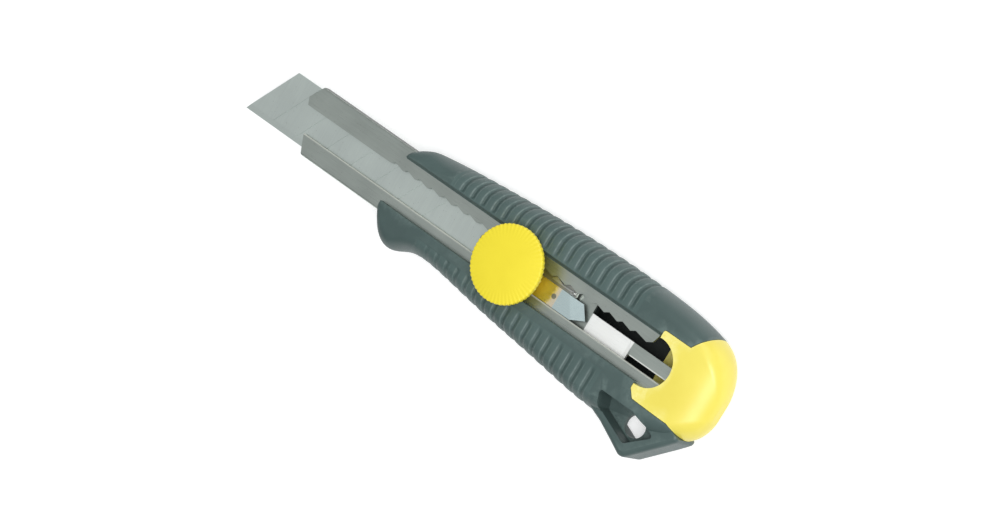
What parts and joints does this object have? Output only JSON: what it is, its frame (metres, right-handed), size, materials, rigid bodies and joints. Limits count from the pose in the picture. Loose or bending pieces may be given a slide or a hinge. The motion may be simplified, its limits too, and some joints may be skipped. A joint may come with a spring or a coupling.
{
  "type": "utility knife",
  "caption": "Screw-lock snap-off knife: ribbed two-material handle with guard and lanyard tab, steel channel, toothed lip, segmented blade, knurled wheel, pull-off end cap.",
  "frame": {"origin": "on the flat back of the handle, below the blade channel's centre line, 118.2 mm behind the blade tip as shown", "axes": "+X forward along the blade, +Y towards the cutting edge, +Z out of the lock wheel's face, so the knife lies on its back"},
  "size_m": [0.1834, 0.0457, 0.0229],
  "materials": {
    "handle_plastic": "slate grey moulded plastic, fine texture",
    "grip_rubber": "slate grey soft grip, ribbed",
    "channel_steel": "brushed sheet steel",
    "cap_plastic": "yellow moulded plastic",
    "blade_steel": "ground blade steel",
    "carrier_steel": "zinc plated steel",
    "slider_chrome": "bright chromed steel",
    "spring_steel": "polished spring steel",
    "stud_steel": "zinc plated steel",
    "washer_steel": "zinc plated steel",
    "insert_brass": "turned brass",
    "wheel_plastic": "bright yellow moulded plastic"
  },
  "bodies": {
    "handle": {"handle_core": "handle_plastic", "grip_spine": "grip_rubber", "grip_edge": "grip_rubber", "blade_channel": "channel_steel"},
    "cap": {"end_cap": "cap_plastic"},
    "carriage": {"blade_carrier": "carrier_steel", "slider_plate": "slider_chrome", "carrier_rivets": "carrier_steel", "spring_pin": "carrier_steel", "blade_pin": "carrier_steel", "snap_blade": "blade_steel", "clamp_stud": "stud_steel"},
    "detent": {"detent_spring": "spring_steel"},
    "washer": {"friction_washer": "washer_steel"},
    "wheel": {"lock_wheel": "wheel_plastic", "wheel_insert": "insert_brass"}
  },
  "joints": [
    {"name": "blade_slide", "type": "slide", "parent": "handle", "child": "carriage", "axis": [1, 0, 0], "range_m": [-0.03, 0.06]},
    {"name": "detent_flex", "type": "hinge", "parent": "carriage", "child": "detent", "pos_m": [-0.0095, -0.00255, 0.0147], "axis": [0, 0, 1], "range_deg": [0, 5], "stiffness_Nm_per_rad": 0.02},
    {"name": "washer_lift", "type": "slide", "parent": "carriage", "child": "washer", "axis": [0, 0, 1], "range_m": [0, 0.0009]},
    {"name": "wheel_turn", "type": "hinge", "parent": "washer", "child": "wheel", "pos_m": [0.01, 0.0005, 0.019], "axis": [0, 0, 1], "range_deg": [0, 360]},
    {"name": "end_cap_pull", "type": "slide", "parent": "handle", "child": "cap", "axis": [-1, 0, 0], "range_m": [0, 0.025]}
  ],
  "couplings": [
    {"joint": "washer_lift", "follows": "wheel_turn", "m_per_rad": 0.00012732}
  ]
}
